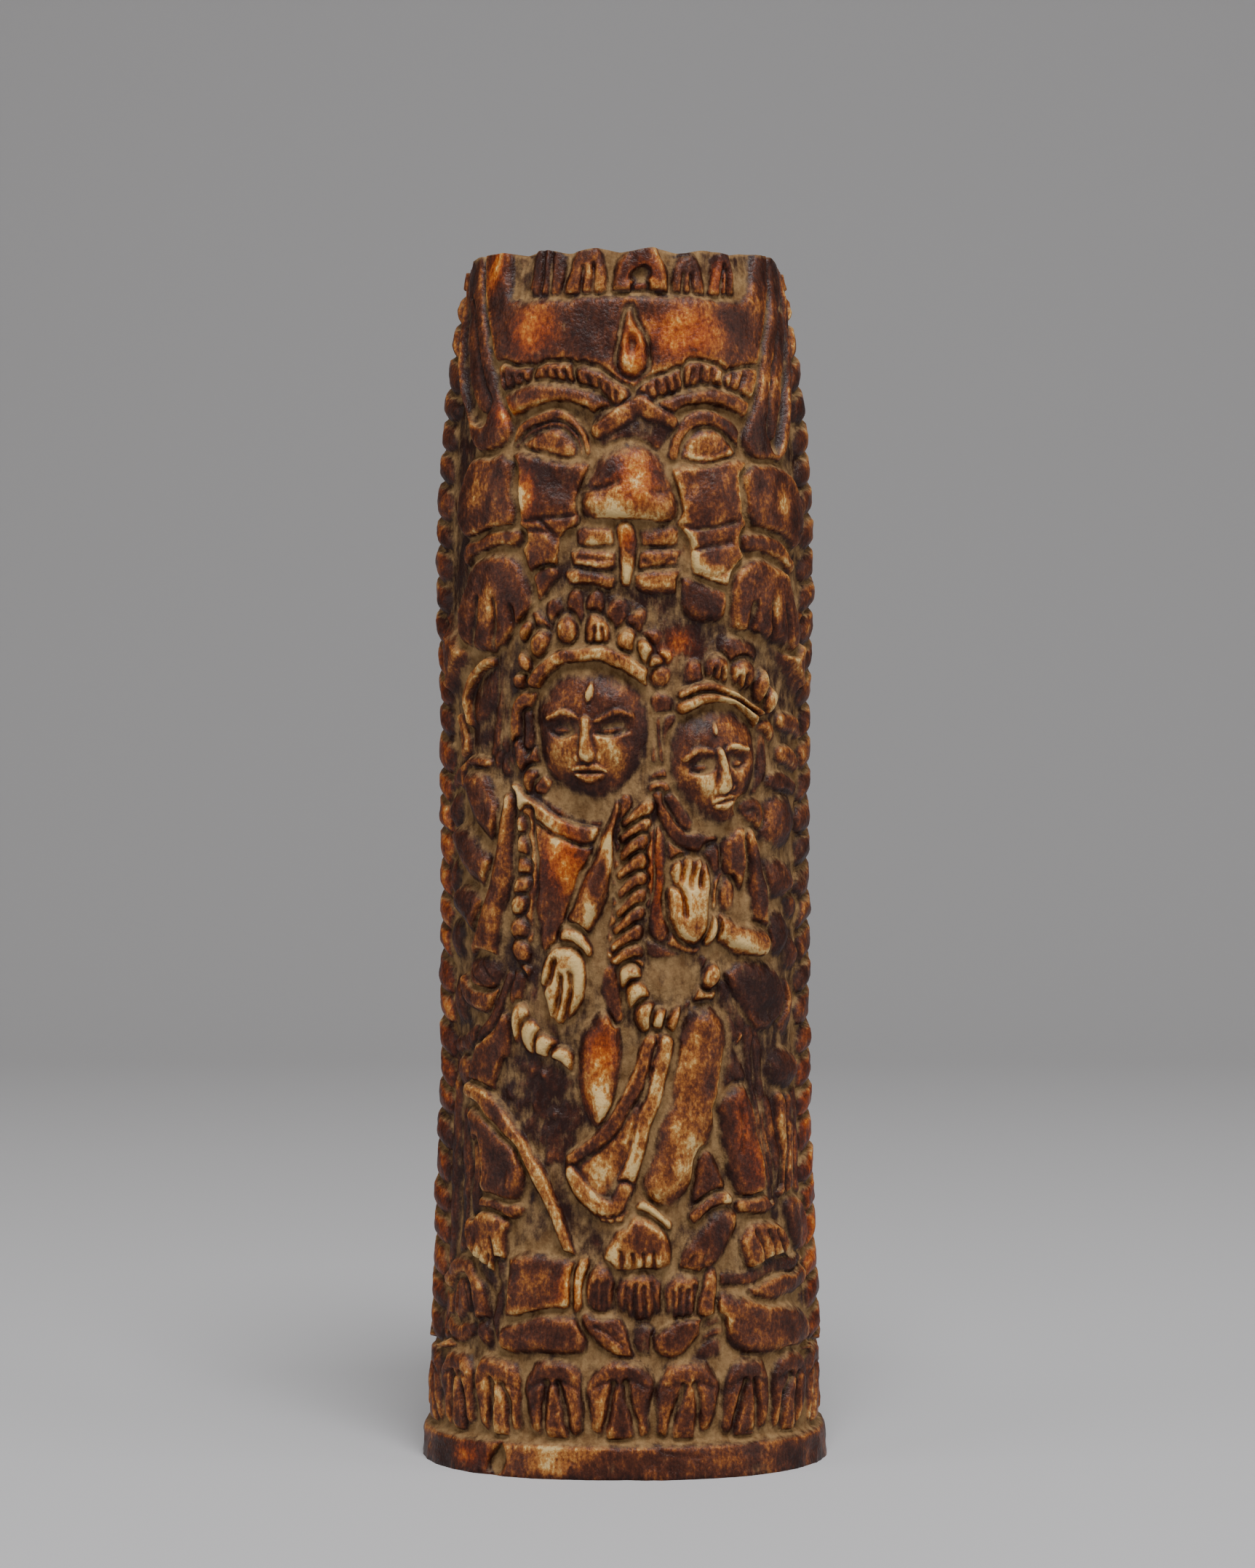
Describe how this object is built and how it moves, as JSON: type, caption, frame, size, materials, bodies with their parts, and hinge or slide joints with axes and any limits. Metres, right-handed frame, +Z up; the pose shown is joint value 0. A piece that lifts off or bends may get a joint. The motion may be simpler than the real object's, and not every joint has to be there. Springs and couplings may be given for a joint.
{
  "type": "carved bone relief statue",
  "caption": "Standing length of carved bone: a fierce guardian mask above a lord embracing his consort, on a lotus pedestal, open through its marrow canal.",
  "frame": {"origin": "middle of the foot, on the surface that the statue stands on", "axes": "+Z up along the bone, the carved front towards -Y, +X to the viewer's right"},
  "size_m": [0.0596, 0.0496, 0.1748],
  "materials": {
    "aged_bone": "old bone, worn and handled to a low sheen, stained dark brown, with pale dust and clay packed in the recesses"
  },
  "bodies": {
    "root": {"carved_bone": "aged_bone"}
  },
  "joints": []
}
